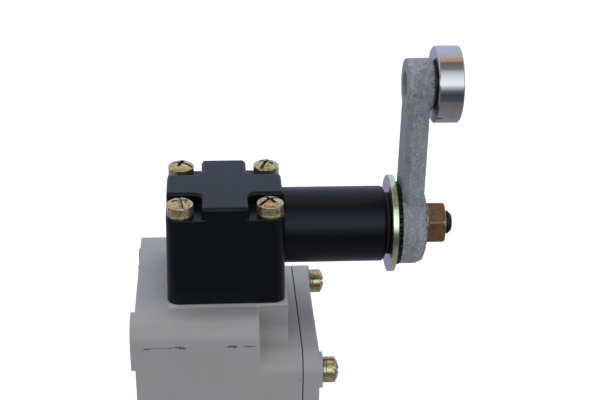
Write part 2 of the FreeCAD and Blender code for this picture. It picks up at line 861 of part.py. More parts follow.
def make_lever():
    body = new_body("lever_body", ON_SHAFT)
    arm = new_sketch(body, "arm", "YZ_Plane", "arm_back")
    draw_outline(arm, [
        ("-arm_low_width / 2", "0"),
        ("arm_low_width / 2", "0"),
        ("arm_top_width / 2", "lever_radius"),
        ("-arm_top_width / 2", "lever_radius"),
    ])
    pad(body, arm, "arm_thick")
    dress(
        body, "Chamfer", "arm_facets", "arm_chamfer",
        lambda e: on_plane(e, "x", "arm_back") and not straight(e, "y"),
    )
    hub_front = "arm_back + hub_length"
    revolve(body, "hub", [
        ("arm_back", "0"),
        (hub_front, "0"),
        (hub_front, "hub_dia / 2 - hub_chamfer"),
        (f"{hub_front} - hub_knee", "hub_dia / 2 - hub_knee"),
        (f"{hub_front} - hub_chamfer", "hub_dia / 2"),
        ("arm_back", "hub_dia / 2"),
    ])
    boss_front = "arm_back + boss_length"
    boss_start = "arm_back - boss_back"
    revolve(body, "boss", [
        (boss_start, "0"),
        (boss_front, "0"),
        (boss_front, "boss_dia / 2 - boss_rounding"),
        (f"{boss_front} - boss_rounding", "boss_dia / 2"),
        (f"{boss_start} + boss_rounding", "boss_dia / 2"),
        (boss_start, "boss_dia / 2 - boss_rounding"),
    ], rise="lever_radius")
    gap = new_sketch(body, "hub_gap", "YZ_Plane", hub_front)
    draw_rectangle(
        gap, "-tooth_width / 2", "hub_dia / 2 - tooth_length", "tooth_width / 2", "hub_dia / 2 + overshoot"
    )
    notch = pocket(body, gap, "tooth_depth")
    repeat_round(body, notch, gap, "hub_teeth")
    bore = circles(body, "hub_bore", "arm_back", "spline_dia + easy_gap", [("0", "0")])
    pocket(body, bore, "hub_length", reverse=True)
    bore = circles(body, "pin_bore", boss_start, "pin_dia + easy_gap", [("0", "lever_radius")])
    pocket(body, bore, "boss_length + boss_back", reverse=True)
    sink = circles(body, "pin_sink", boss_start, "pin_sink_dia", [("0", "lever_radius")])
    pocket(body, sink, "pin_sink_depth", reverse=True)
    keep(body, "lever_arm")


def make_roller():
    """A steel roller on a bronze bush, held by a riveted pin whose head lies inside the roller."""
    on_pin = ("0", "0", ROLLER_Z)
    end = "roller_back + roller_width"
    rim = "roller_dia / 2"
    turned("roller", [
        ("roller_back", "roller_bore / 2"),
        (end, "roller_bore / 2"),
        (end, f"{rim} - roller_chamfer"),
        (f"{end} - roller_chamfer", rim),
        ("roller_back + roller_chamfer", rim),
        ("roller_back", f"{rim} - roller_chamfer"),
    ], on_pin)
    bush = "roller_width - pin_head - 2 * easy_gap"
    ring("roller_bush", "roller_back", bush, "roller_bore - easy_gap", "pin_dia + 2 * running_gap", on_pin)
    flange = f"{end} - pin_head"
    turned("roller_pin", [
        ("arm_back + pin_sink_depth / 2", "0"),
        (end, "0"),
        (end, "pin_head_dia / 2 - roller_chamfer"),
        (f"{end} - roller_chamfer", "pin_head_dia / 2"),
        (flange, "pin_head_dia / 2"),
        (flange, "pin_dia / 2"),
        ("arm_back + pin_sink_depth / 2", "pin_dia / 2"),
    ], on_pin)
    boss_front = "arm_back + boss_length"
    ring(
        "roller_washer", f"{boss_front} + easy_gap", f"roller_back - ({boss_front}) - 2 * easy_gap",
        "pin_head_dia", "pin_dia + 2 * easy_gap", on_pin,
    )


def coil(radius, wire, pitch, turns):
    """A round wire wound about +Z, from z = 0."""
    path = Part.Wire(Part.makeLongHelix(pitch, pitch * turns, radius))
    section = Part.Wire(Part.makeCircle(
        wire / 2, FreeCAD.Vector(radius, 0, 0), FreeCAD.Vector(0, 1, 0)
    ))
    return path.makePipeShell([section], True, True)


def shape_item(name, label, shape, placement):
    item = doc.addObject("Part::Feature", name)
    item.Shape = shape
    item.Placement = placement
    return keep(item, label)


def make_return_spring():
    """A torsion spring: one end in the shaft's disc, the other against the head's chamber."""
    radius = number("torsion_radius")
    wire = number("torsion_wire")
    pitch = number("torsion_pitch")
    turns = number("torsion_turns")
    winding = coil(radius, wire, pitch, turns)
    lead = Part.makeCylinder(
        wire / 2, number("torsion_back - disc_back - disc_thick / 2"),
        FreeCAD.Vector(radius, 0, 0), FreeCAD.Vector(0, 0, -1),
    )
    leg = Part.makeCylinder(
        wire / 2, number("torsion_leg"),
        FreeCAD.Vector(0, radius, pitch * turns), FreeCAD.Vector(-1, 0, 0),
    )
    at = FreeCAD.Vector(number("torsion_back"), 0, number(SHAFT_Z))
    shape_item(
        "torsion_coil", "return_spring", winding.fuse([lead, leg]), FreeCAD.Placement(at, TURN["x"])
    )


# The plunger and the contact block.

def make_plunger():
    yoke = block(
        "yoke_plate", ("yoke_thick", "yoke_left + yoke_right", "yoke_height"),
        ("yoke_back", "-yoke_right", f"{SHAFT_Z} - yoke_height / 2"),
    )
    slot = block(
        "yoke_slot", ("yoke_thick", "slot_left - slot_right", "slot_height"),
        ("yoke_back", "slot_right", f"{SHAFT_Z} - slot_height / 2"),
    )
    stem = rod(
        "stem", "stem_dia", f"{SHAFT_Z} - yoke_height / 2 + stem_foot", (STEM_X, "0", "-stem_foot")
    )
    keep(fuse("plunger_solid", cut("yoke", yoke, slot), stem), "plunger")
    wall_low = "cavity_height / 2"
    bore = "stem_dia / 2 + running_gap"
    turned("plunger_guide", [
        (f"{wall_low} - guide_flange", bore),
        (TOP, bore),
        (TOP, "(stem_bore_dia - easy_gap) / 2"),
        (wall_low, "(stem_bore_dia - easy_gap) / 2"),
        (wall_low, "guide_flange_dia / 2"),
        (f"{wall_low} - guide_flange", "guide_flange_dia / 2"),
    ], (STEM_X, "0", "0"), "z")


def make_moving_contact():
    low = (f"{STEM_X} - strip_width / 2", "0", "-strip_thick / 2")
    strip = centred("bridge_strip", ("strip_width", "bridge_length", "strip_thick"), low)
    bore = rod("bridge_bore", "stem_dia + easy_gap", "strip_thick", (STEM_X, "0", "-strip_thick / 2"))
    keep(cut("bridge", strip, bore), "moving_contact")
    tips = []
    for y in (-1, 1):
        for z, low in ((1, "strip_thick / 2"), (-1, "-strip_thick / 2 - tip_height")):
            at = (STEM_X, f"{y} * tip_place", low)
            tips.append(rod(f"moving_tip_{y + 1}_{z + 1}", "tip_dia", "tip_height", at))
    keep(group("moving_tip_set", tips), "moving_contact_tips")
    collars = []
    for i, low in enumerate(("collar_place", "-collar_place - collar_thick")):
        at = (STEM_X, "0", low)
        collars.append(tube(f"collar_{i}", "collar_dia", "stem_dia + easy_gap", "collar_thick", at, "z"))
    keep(group("collar_set", collars), "spring_collars")
    pitch = number("contact_spring_pitch")
    winding = coil(
        number("contact_spring_radius"), number("spring_wire"), pitch,
        number("contact_spring_length") / pitch,
    )
    rise = FreeCAD.Vector(0, 0, number("strip_thick / 2 + spring_wire / 2 + easy_gap"))
    upper = winding.translated(rise)
    lower = upper.mirror(FreeCAD.Vector(), FreeCAD.Vector(0, 0, 1))
    at = FreeCAD.Vector(number(STEM_X), 0, 0)
    shape_item(
        "contact_coils", "contact_springs", Part.makeCompound([upper, lower]),
        FreeCAD.Placement(at, FreeCAD.Rotation()),
    )


def block_screw_places():
    return [("-block_screw_y", "block_screw_z"), ("block_screw_y", "-block_screw_z")]


TERMINAL_Y = "terminal_out - terminal_width / 2"
TERMINAL_Z = FINGER_Z + " + strip_thick + terminal_rise / 2 - easy_gap"
SIDES = [(y, z) for y in (-1, 1) for z in (-1, 1)]


def mirrored_block(name, size, low, y, z):
    """A box given for the +Y, +Z corner, moved to another corner of the contact block."""
    low_y = low[1] if y > 0 else f"-({low[1]}) - ({size[1]})"
    low_z = low[2] if z > 0 else f"-({low[2]}) - ({size[2]})"
    return block(name, size, (low[0], low_y, low_z))


def make_contact_block():
    depth = "block_front - cavity_back"
    solid = [centred("block_main", (depth, "block_width", "block_height"),
                     ("cavity_back", "0", "-block_height / 2"))]
    hollow = [
        centred("block_well", ("block_front - well_back", "well_width", "well_height"),
                ("well_back", "0", "-well_height / 2")),
        rod("block_stem_hole", "stem_dia + 2 * stem_clearance", "block_height",
            (STEM_X, "0", "-block_height / 2")),
    ]
    ear_low = FINGER_Z + " + strip_thick + easy_gap"
    for y, z in SIDES:
        tag = f"{y + 1}_{z + 1}"
        size = (f"{depth} - easy_gap", "terminal_out - block_width / 2 + easy_gap", "terminal_rise")
        low = ("cavity_back", "block_width / 2 - easy_gap", ear_low)
        solid.append(mirrored_block("ear_" + tag, size, low, y, z))
        low = (f"{STEM_X} - strip_width / 2 - easy_gap", "finger_slot_start", f"{FINGER_Z} - easy_gap")
        size = (
            f"block_front - ({low[0]})", "block_width / 2 - finger_slot_start", "strip_thick + 2 * easy_gap"
        )
        hollow.append(mirrored_block("finger_slot_" + tag, size, low, y, z))
        at = ("block_front - terminal_screw_length", f"{y} * ({TERMINAL_Y})", f"{z} * ({TERMINAL_Z})")
        hollow.append(rod("terminal_hole_" + tag, "small_screw_dia + screw_clearance",
                          "terminal_screw_length", at, "x"))
    for i, (y, z) in enumerate(block_screw_places()):
        hollow.append(rod(f"block_hole_{i}", "small_screw_dia + 2 * screw_clearance", depth,
                          ("cavity_back", y, z), "x"))
    keep(cut("contact_block_cut", fuse("contact_block_solid", *solid), *hollow), "contact_block")
    lid = centred("cap_plate", ("cap_thick", "block_width - 2 * easy_gap", "block_height - 2 * easy_gap"),
                  ("block_front", "0", "-block_height / 2 + easy_gap"))
    holes = [
        rod(f"cap_hole_{i}", "small_screw_dia + 2 * screw_clearance", "cap_thick",
            ("block_front", y, z), "x")
        for i, (y, z) in enumerate(block_screw_places())
    ]
    keep(cut("cap_cut", lid, *holes), "contact_block_cap")


def make_terminals():
    """A fixed contact is a finger in the block, a web that runs forwards and a screw tab."""
    pieces = {"fixed": [], "tips": [], "screws": [], "clamps": []}
    for (y, z), spin in zip(SIDES, SLOT_ANGLES["terminal"]):
        tag = f"{y + 1}_{z + 1}"
        finger = mirrored_block(
            "finger_" + tag, ("strip_width", "terminal_out - finger_start", "strip_thick"),
            (f"{STEM_X} - strip_width / 2", "finger_start", FINGER_Z), y, z,
        )
        web = mirrored_block(
            "web_" + tag, (f"block_front + strip_thick - ({STEM_X})", "terminal_width", "strip_thick"),
            (STEM_X, "terminal_out - terminal_width", FINGER_Z), y, z,
        )
        tab = mirrored_block(
            "tab_" + tag, ("strip_thick", "terminal_width", "strip_thick + terminal_rise"),
            ("block_front", "terminal_out - terminal_width", FINGER_Z), y, z,
        )
        centre = (f"{y} * ({TERMINAL_Y})", f"{z} * ({TERMINAL_Z})")
        hole = rod("tab_hole_" + tag, "small_screw_dia + 2 * screw_clearance", "strip_thick",
                   ("block_front", *centre), "x")
        pieces["fixed"].append(cut("terminal_" + tag, fuse("terminal_bar_" + tag, finger, web, tab), hole))
        low = FINGER_Z + " - tip_height" if z > 0 else f"-({FINGER_Z})"
        pieces["tips"].append(rod("fixed_tip_" + tag, "tip_dia", "tip_height",
                                  (STEM_X, f"{y} * tip_place", low)))
        clamp = block("clamp_plate_" + tag, ("clamp_thick", "clamp_size", "clamp_size"), (
            "block_front + strip_thick", f"{centre[0]} - clamp_size / 2", f"{centre[1]} - clamp_size / 2"
        ))
        hole = rod("clamp_hole_" + tag, "small_screw_dia + 2 * screw_clearance", "clamp_thick",
                   ("block_front + strip_thick", *centre), "x")
        pieces["clamps"].append(cut("clamp_" + tag, clamp, hole))
        seat = "block_front + strip_thick + clamp_thick"
        pieces["screws"].append(slotted_screw(
            "terminal_screw_" + tag, "small_screw_dia", "terminal_screw_length", "small_head_dia",
            "small_head_height", "0", (seat, *centre), "x", spin,
        ))
    keep(group("terminal_set", pieces["fixed"]), "fixed_contacts")
    keep(group("fixed_tip_set", pieces["tips"]), "fixed_contact_tips")
    keep(group("clamp_set", pieces["clamps"]), "terminal_clamps")
    keep(group("terminal_screw_set", pieces["screws"]), "terminal_screws")
    holders = [
        slotted_screw(f"block_screw_{i}", "small_screw_dia", "block_screw_length", "small_head_dia",
                      "small_head_height", "0", ("block_front + cap_thick", y, z), "x",
                      SLOT_ANGLES["block"][i])
        for i, (y, z) in enumerate(block_screw_places())
    ]
    keep(group("block_screw_set", holders), "contact_block_screws")
    seat = "cavity_back + earth_boss + clamp_thick"
    keep(
        slotted_screw("earth_bolt", "small_screw_dia", "earth_length", "small_head_dia",
                      "small_head_height", "0", (seat, "-earth_y", "0"), "x", SLOT_ANGLES["earth"]),
        "earth_screw",
    )
    keep(
        tube("earth_cup", "small_washer_dia", "small_screw_dia + 2 * screw_clearance", "clamp_thick",
             ("cavity_back + earth_boss", "-earth_y", "0")),
        "earth_washer",
    )


def main():
    make_housing()
    make_cover()
    make_gasket()
    make_case_screws()
    make_head()
    make_head_seal()
    make_sleeve()
    make_shaft()
    make_washers()
    make_nut()
    make_lever()
    make_roller()
    make_return_spring()
    make_plunger()
    make_moving_contact()
    make_contact_block()
    make_terminals()
    doc.recompute()
    failed = [o.Name for o in doc.Objects if {"Invalid", "Error"} & set(o.State)]
    if failed:
        raise RuntimeError(f"failed objects: {failed}")
    os.makedirs("parts", exist_ok=True)
    for item in parts:
        if item.Shape.isNull() or not item.Shape.isValid():
            raise RuntimeError(f"{item.Label} has no valid shape")
        item.Shape.exportStep(f"parts/{item.Label}.step")
        print(item.Label, len(item.Shape.Solids), round(item.Shape.Volume, 1))


main()
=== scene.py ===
import json
import math

import bpy
from mathutils import Matrix, Vector


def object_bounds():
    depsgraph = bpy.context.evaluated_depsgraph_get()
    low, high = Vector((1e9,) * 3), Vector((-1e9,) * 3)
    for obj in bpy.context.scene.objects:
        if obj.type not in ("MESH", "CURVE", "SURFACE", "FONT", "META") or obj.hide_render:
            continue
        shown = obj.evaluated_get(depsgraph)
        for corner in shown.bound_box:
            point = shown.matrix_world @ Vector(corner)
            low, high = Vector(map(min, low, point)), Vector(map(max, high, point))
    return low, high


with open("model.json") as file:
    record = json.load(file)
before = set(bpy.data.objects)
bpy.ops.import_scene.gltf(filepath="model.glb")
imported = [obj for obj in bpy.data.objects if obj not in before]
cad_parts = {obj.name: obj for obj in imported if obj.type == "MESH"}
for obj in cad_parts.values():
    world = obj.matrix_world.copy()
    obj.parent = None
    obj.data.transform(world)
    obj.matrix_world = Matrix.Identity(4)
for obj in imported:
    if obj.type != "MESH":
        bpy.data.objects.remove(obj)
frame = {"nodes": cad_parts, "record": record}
cad_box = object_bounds()

MM = 0.001
RAY_SAMPLES = 8
# How well the rounded normal agrees with the flat one where an edge mask is full, and where it is empty:
# worn paint edges on the grey and black, painted highlights on the plated edges.
EDGE_WEAR_AND_SHINE = (0.86, 0.97)
# Turning marks: their size in millimetres and how they stretch round the X axis.
GROOVE = 0.05
ROUND_X = (1.0, 0.02, 0.02)
GRAIN = 0.4
GREY = (0.243, 0.240, 0.242)
WARM_GREY = (0.252, 0.242, 0.230)
BLACK = (0.0024, 0.0028, 0.0042)
DUSTY = (0.05, 0.052, 0.06)
CAST = (0.196, 0.207, 0.228)


def toned(color, factor):
    """A lighter or darker version of a colour."""
    return tuple(c * factor for c in color)


# Node helpers. A material is a chain of small steps on its Principled shader.

class Look:
    """A node material with the pieces that every finish here is put together from."""

    def __init__(self, name, color, metallic=0.0, roughness=0.5, specular=0.5):
        self.material = bpy.data.materials.new(name)
        self.material.use_nodes = True
        self.tree = self.material.node_tree
        self.shader = self.tree.nodes["Principled BSDF"]
        self.shader.inputs["Base Color"].default_value = (*color, 1.0)
        self.shader.inputs["Metallic"].default_value = metallic
        self.shader.inputs["Roughness"].default_value = roughness
        self.shader.inputs["Specular IOR Level"].default_value = specular
        self.coords = self.add("ShaderNodeTexCoord").outputs["Object"]
        self.relief = None

    def add(self, kind, **inputs):
        node = self.tree.nodes.new(kind)
        for name, value in inputs.items():
            socket = node.inputs[name.replace("_", " ")]
            self.feed(socket, value)
        return node

    def feed(self, socket, value):
        if isinstance(value, bpy.types.NodeSocket):
            self.tree.links.new(value, socket)
        else:
            socket.default_value = value

    def stretched(self, scale):
        """Object coordinates scaled per axis, for marks that run one way."""
        node = self.add("ShaderNodeMapping", Vector=self.coords)
        node.inputs["Scale"].default_value = scale
        return node.outputs["Vector"]

    def noise(self, size, detail=4.0, rough=0.55, stretch=None, distortion=0.0):
        """Noise whose features are about size millimetres across."""
        where = self.stretched(stretch) if stretch else self.coords
        node = self.add(
            "ShaderNodeTexNoise", Vector=where, Scale=1.0 / (size * MM), Detail=detail,
            Roughness=rough, Distortion=distortion,
        )
        return node.outputs["Fac"]

    def cells(self, size):
        """Distance from the middle of the nearest of many irregular cells."""
        node = self.add("ShaderNodeTexVoronoi", Vector=self.coords, Scale=1.0 / (size * MM))
        return node.outputs["Distance"]

    def math(self, operation, a, b=0.0):
        node = self.add("ShaderNodeMath")
        node.operation = operation
        self.feed(node.inputs[0], a)
        self.feed(node.inputs[1], b)
        return node.outputs[0]

    def band(self, value, low, high):
        """0 below low, 1 above high, smooth between; low above high turns it round."""
        node = self.add("ShaderNodeMapRange", Value=value)
        node.interpolation_type = "SMOOTHSTEP"
        flip = low > high
        node.inputs["From Min"].default_value = min(low, high)
        node.inputs["From Max"].default_value = max(low, high)
        node.inputs["To Min"].default_value = 1.0 if flip else 0.0
        node.inputs["To Max"].default_value = 0.0 if flip else 1.0
        return node.outputs["Result"]

    def scaled(self, value, low, high):
        """A 0 to 1 value spread over a range."""
        node = self.add("ShaderNodeMapRange", Value=value)
        node.inputs["To Min"].default_value = low
        node.inputs["To Max"].default_value = high
        return node.outputs["Result"]

    def ramp(self, value, stops):
        """A colour read off a list of (place, colour) stops."""
        node = self.add("ShaderNodeValToRGB", Fac=value)
        elements = node.color_ramp.elements
        while len(elements) < len(stops):
            elements.new(0.5)
        for element, (place, color) in zip(elements, stops):
            element.position = place
            element.color = (*color, 1.0)
        return node.outputs["Color"]

    def mix(self, factor, a, b):
        """Colour a at factor 0, b at factor 1. The colour sockets of this node are 6 and 7."""
        node = self.add("ShaderNodeMix")
        node.data_type = "RGBA"
        self.feed(node.inputs[0], factor)
        for index, value in ((6, a), (7, b)):
            self.feed(node.inputs[index], (*value, 1.0) if isinstance(value, tuple) else value)
        return node.outputs[2]

    def edges(self, radius, low, high):
        """1 on outer edges: where the surface turns away from its own rounded normal."""
        bevel = self.add("ShaderNodeBevel", Radius=radius * MM)
        bevel.samples = RAY_SAMPLES
        flat = self.add("ShaderNodeNewGeometry").outputs["Normal"]
        dot = self.add("ShaderNodeVectorMath")
        dot.operation = "DOT_PRODUCT"
        self.feed(dot.inputs[0], bevel.outputs["Normal"])
        self.feed(dot.inputs[1], flat)
        return self.band(dot.outputs["Value"], high, low)

    def shaded_hollows(self, reach, low, high):
        """1 deep in slots and corners narrower than the reach, as the occlusion test finds them: the mask
        for painted shade.
        """
        node = self.add("ShaderNodeAmbientOcclusion", Distance=reach * MM)
        node.samples = RAY_SAMPLES
        return self.band(node.outputs["AO"], high, low)

    def position(self, axis):
        """One object coordinate, in metres."""
        node = self.add("ShaderNodeSeparateXYZ", Vector=self.coords)
        return node.outputs[axis]

    def color(self, value):
        self.feed(self.shader.inputs["Base Color"], value)

    def set(self, name, value):
        self.feed(self.shader.inputs[name], value)

    def bump(self, height, depth, strength=1.0):
        """Adds a layer of relief, depth millimetres from 0 to 1."""
        node = self.add("ShaderNodeBump", Height=height, Strength=strength, Distance=depth * MM)
        if self.relief is not None:
            self.feed(node.inputs["Normal"], self.relief)
        self.relief = node.outputs["Normal"]
        self.feed(self.shader.inputs["Normal"], self.relief)

    def soften(self, radius):
        """Rounds what the light sees of the sharp edges."""
        bevel = self.add("ShaderNodeBevel", Radius=radius * MM)
        bevel.samples = RAY_SAMPLES
        self.relief = bevel.outputs["Normal"]
        self.feed(self.shader.inputs["Normal"], self.relief)


# Knocks in the enamel of the right-hand side wall, most of them where the corner boss's rounding
# meets it: (start along X, length, half height, height above the origin), in millimetres.
KNOCKS = [
    (2.9, 2.2, 0.12, 30.8),
    (4.9, 5.4, 0.03, 30.9),
    (10.3, 1.9, 0.16, 31.1),
    (11.2, 2.0, 0.18, 30.8),
    (22.6, 2.5, 0.26, 30.95),
    (26.4, 3.1, 0.05, 30.9),
    (39.7, 0.5, 0.45, 21.2),
]
DIRT = (0.035, 0.037, 0.045)
# The right-hand wall lies past SIDE. The head's middle and how far the painted highlight strip beside it
# reaches.
SIDE = 24.2
HEAD_MIDDLE = 22.8
FOOT_REACH = 15.4


def knocks(look):
    """1 inside the knocks: ragged dark streaks."""
    x, y, z = (look.position(axis) for axis in ("X", "Y", "Z"))
    rough = look.noise(0.7, detail=5.0, rough=0.7)
    wander = look.math("MULTIPLY", look.math("SUBTRACT", rough, 0.5), 0.9 * MM)
    level = look.math("ADD", z, wander)
    near_side = look.band(y, -SIDE * MM, -(SIDE + 0.3) * MM)
    marks = None
    for start, length, half, height in KNOCKS:
        off = look.math("ABSOLUTE", look.math("SUBTRACT", level, height * MM))
        middle = (start + length / 2) * MM
        along = look.math("ABSOLUTE", look.math("SUBTRACT", x, middle))
        inside = look.band(along, length / 2 * MM, (length / 2 - 0.4) * MM)
        thin = look.band(off, (half + 0.1) * MM, half * MM)
        streak = look.math("MULTIPLY", inside, thin)
        marks = streak if marks is None else look.math("MAXIMUM", marks, streak)
    return look.math("MULTIPLY", marks, near_side)


def painted_foot_highlight(look):
    """1 on a strip of painted highlight beside the head's foot, on its right and front: lighter enamel
    that stands in for the light there.
    """
    x, y, z = (look.position(axis) for axis in ("X", "Y", "Z"))
    from_x = look.math("SUBTRACT", x, HEAD_MIDDLE * MM)
    wander = look.math("MULTIPLY", look.math("SUBTRACT", look.noise(1.5), 0.5), 0.7 * MM)
    away = look.math("ADD", look.math("MAXIMUM", from_x, look.math("MULTIPLY", y, -1.0)), wander)
    inside = look.band(away, (FOOT_REACH + 0.5) * MM, FOOT_REACH * MM)
    beside = look.band(look.math("MULTIPLY", from_x, -1.0), 14.6 * MM, 13.0 * MM)
    top = look.band(z, 36.0 * MM, 36.25 * MM)
    return look.math("MULTIPLY", look.math("MULTIPLY", inside, beside), top)


def grey_paint():
    """Satin enamel on a die casting: faint orange peel, dust, rubbed edges, a few chips and a painted
    highlight strip beside the head's foot.
    """
    look = Look("grey_paint", GREY, roughness=0.4, specular=0.4)
    look.soften(0.4)
    cloud = look.noise(16.0, detail=3.0)
    tone = look.ramp(cloud, [(0.3, GREY), (0.7, toned(GREY, 1.07))])
    warm = look.band(look.noise(9.0, detail=5.0, rough=0.65), 0.42, 0.62)
    tone = look.mix(look.math("MULTIPLY", warm, 0.6), tone, WARM_GREY)
    mottle = look.band(look.noise(1.1, detail=6.0, rough=0.8), 0.42, 0.62)
    tone = look.mix(look.math("MULTIPLY", mottle, 0.4), tone, toned(GREY, 0.92))
    edge = look.edges(0.7, *EDGE_WEAR_AND_SHINE)
    rub = look.math("MULTIPLY", edge, look.band(look.noise(2.2), 0.35, 0.75))
    rubbed_and_highlit = look.mix(look.math("MULTIPLY", rub, 0.3), tone, toned(GREY, 1.4))
    sparse = look.band(look.noise(1.1, detail=6.0, rough=0.7), 0.70, 0.73)
    chip = look.math("MULTIPLY", look.edges(1.0, 0.8, 0.9), sparse)
    speck = look.band(look.noise(0.6, detail=2.0), 0.80, 0.83)
    marks = look.math("MAXIMUM", chip, look.math("MULTIPLY", speck, 0.5))
    marks = look.math("MAXIMUM", marks, knocks(look))
    # Painted highlight: the enamel beside the head's foot is made much lighter to stand in for the light
    # there.
    rubbed_and_highlit = look.mix(look.math("MULTIPLY", painted_foot_highlight(look), 0.6), rubbed_and_highlit, toned(GREY, 1.9))
    look.color(look.mix(look.math("MULTIPLY", marks, 0.85), rubbed_and_highlit, DIRT))
    look.set("Roughness", look.scaled(look.noise(5.0), 0.34, 0.5))
    look.bump(look.noise(0.9, detail=2.0), 0.012)
    look.bump(look.math("MULTIPLY", marks, -1.0), 0.05)
    return look.material


def black_paint():
    """Satin black on the head and sleeve, with fine dust, hair scratches and rubbed edges."""
    look = Look("black_paint", BLACK, roughness=0.3, specular=0.3)
    look.shader.inputs["Specular Tint"].default_value = (0.76, 0.87, 1.0, 1.0)
    look.soften(0.5)
    dust = look.band(look.noise(0.3, detail=3.0), 0.68, 0.8)
    tone = look.mix(look.math("MULTIPLY", dust, 0.12), BLACK, DUSTY)
    scratch = look.band(look.noise(1.4, detail=6.0, rough=0.75, stretch=(1.0, 1.0, 0.25)), 0.685, 0.70)
    tone = look.mix(look.math("MULTIPLY", scratch, 0.22), tone, DUSTY)
    rub = look.math("MULTIPLY", look.edges(0.6, *EDGE_WEAR_AND_SHINE), look.band(look.noise(1.5), 0.4, 0.8))
    look.color(look.mix(look.math("MULTIPLY", rub, 0.2), tone, DUSTY))
    look.set("Roughness", look.scaled(look.noise(3.0, detail=5.0), 0.24, 0.38))
    look.bump(look.noise(0.7, detail=3.0), 0.01)
    return look.material


def chromate(name, stops, roughness, size=1.8, rounding=0.45, shine=0.0):
    """Chromated zinc plate: thin film in several tints, tarnished, with painted highlights on the edges
    and painted shade in slots and tight corners.
    """
    look = Look(name, stops[0][1], metallic=0.88, roughness=roughness)
    look.soften(rounding)
    film = look.ramp(look.noise(size, detail=3.0, distortion=1.2), stops)
    tarnish = look.band(look.noise(0.9, detail=5.0, rough=0.65), 0.50, 0.66)
    tone = look.mix(look.math("MULTIPLY", tarnish, 0.65), film, (0.16, 0.075, 0.045))
    # Painted highlight: a pale pinkish tint on the edges, as strong as shine, stands in for the glints
    # there.
    edge_highlit = look.mix(look.math("MULTIPLY", look.edges(0.25, *EDGE_WEAR_AND_SHINE), shine), tone, (0.98, 0.84, 0.72))
    # Painted shade: slots and tight corners are darkened to a dark red-brown where the occlusion mask
    # finds them hidden.
    look.color(look.mix(look.shaded_hollows(1.2, 0.4, 0.85), edge_highlit, (0.075, 0.022, 0.012)))
    look.set("Roughness", look.scaled(look.noise(0.7), roughness - 0.06, roughness + 0.1))
    look.bump(look.noise(0.35), 0.008)
    return look.material


def washer_plate():
    """The dust washer's plating: lilac on its flat faces, yellow-green round the rim."""
    look = Look("pale_zinc", (0.6, 0.6, 0.5), metallic=1.0, roughness=0.2)
    look.soften(0.2)
    film = look.noise(3.5, detail=3.0, distortion=0.8)
    face = look.ramp(film, LILAC_FILM)
    rim = look.ramp(film, GREEN_FILM)
    normal = look.add("ShaderNodeNewGeometry").outputs["Normal"]
    across = look.add("ShaderNodeSeparateXYZ", Vector=normal).outputs["X"]
    flat = look.band(look.math("ABSOLUTE", across), 0.5, 0.8)
    look.color(look.mix(flat, rim, face))
    look.set("Roughness", look.scaled(look.noise(0.8), 0.08, 0.18))
    look.bump(look.noise(0.4), 0.004)
    return look.material


def cast_lever():
    """Raw zinc casting: matt, sandy grain, small pits and darker dirt."""
    look = Look("cast_lever", CAST, metallic=0.3, roughness=0.55)
    look.soften(0.35)
    grain = look.band(look.noise(0.45, detail=6.0, rough=0.75), 0.36, 0.66)
    cloud = look.noise(4.0, detail=4.0)
    tone = look.ramp(cloud, [(0.3, toned(CAST, 0.8)), (0.7, toned(CAST, 1.12))])
    fine = look.mix(look.scaled(grain, 0.0, 0.6), tone, toned(CAST, 2.1))
    crest = look.band(look.noise(0.7, detail=5.0, rough=0.75), 0.58, 0.66)
    fine = look.mix(look.math("MULTIPLY", crest, 0.5), fine, toned(CAST, 2.9))
    flow = look.band(look.noise(1.3, detail=4.0, rough=0.6, stretch=(1.0, 1.0, 0.3)), 0.40, 0.62)
    fine = look.mix(look.math("MULTIPLY", flow, 0.3), fine, toned(CAST, 0.5))
    pits = look.math(
        "MULTIPLY", look.band(look.cells(0.6), 0.34, 0.14), look.band(look.noise(1.6), 0.42, 0.55)
    )
    rougher = look.scaled(look.band(look.position("Z"), 76.0 * MM, 82.0 * MM), 0.3, 0.8)
    look.color(look.mix(look.math("MULTIPLY", pits, rougher), fine, (0.04, 0.04, 0.045)))
    look.set("Roughness", look.scaled(grain, 0.42, 0.7))
    look.bump(grain, 0.05)
    look.bump(look.math("MULTIPLY", pits, -1.0), 0.1)
    return look.material


def turned_steel(name, color, roughness):
    """Turned or ground steel: fine rings across the X axis."""
    look = Look(name, color, metallic=1.0, roughness=roughness)
    look.soften(0.15)
    rings = look.noise(GROOVE, detail=2.0, stretch=ROUND_X)
    tone = look.mix(look.scaled(rings, 0.0, 0.3), color, toned(color, 0.75))
    smear = look.band(look.noise(2.2, detail=6.0, rough=0.7), 0.52, 0.68)
    look.color(look.mix(look.math("MULTIPLY", smear, 0.3), tone, toned(color, 0.6)))
    look.set("Roughness", look.scaled(look.noise(1.5), roughness * 0.85, roughness * 1.25))
    look.bump(rings, 0.002)
    look.bump(look.noise(2.0, detail=3.0, rough=0.6), 0.012)
    return look.material


def plain_metal(name, color, roughness):
    """Drawn or stamped metal, most of it inside the case."""
    look = Look(name, color, metallic=1.0, roughness=roughness)
    look.soften(0.1)
    mottle = look.noise(4 * GRAIN, detail=4.0)
    look.color(look.mix(look.scaled(mottle, 0.0, 0.4), color, toned(color, 0.6)))
    look.set("Roughness", look.scaled(look.noise(GRAIN), roughness - 0.05, roughness + 0.12))
    look.bump(look.noise(GRAIN), 0.006)
    return look.material


def moulded(name, color, roughness, specular=0.4):
    """Moulded plastic or rubber with a fine skin."""
    look = Look(name, color, roughness=roughness, specular=specular)
    look.soften(0.2)
    mottle = look.noise(3.0)
    look.color(look.mix(look.scaled(mottle, 0.0, 0.5), color, toned(color, 0.8)))
    look.set("Roughness", look.scaled(look.noise(1.2), roughness - 0.06, roughness + 0.08))
    look.bump(look.noise(0.3), 0.01)
    return look.material


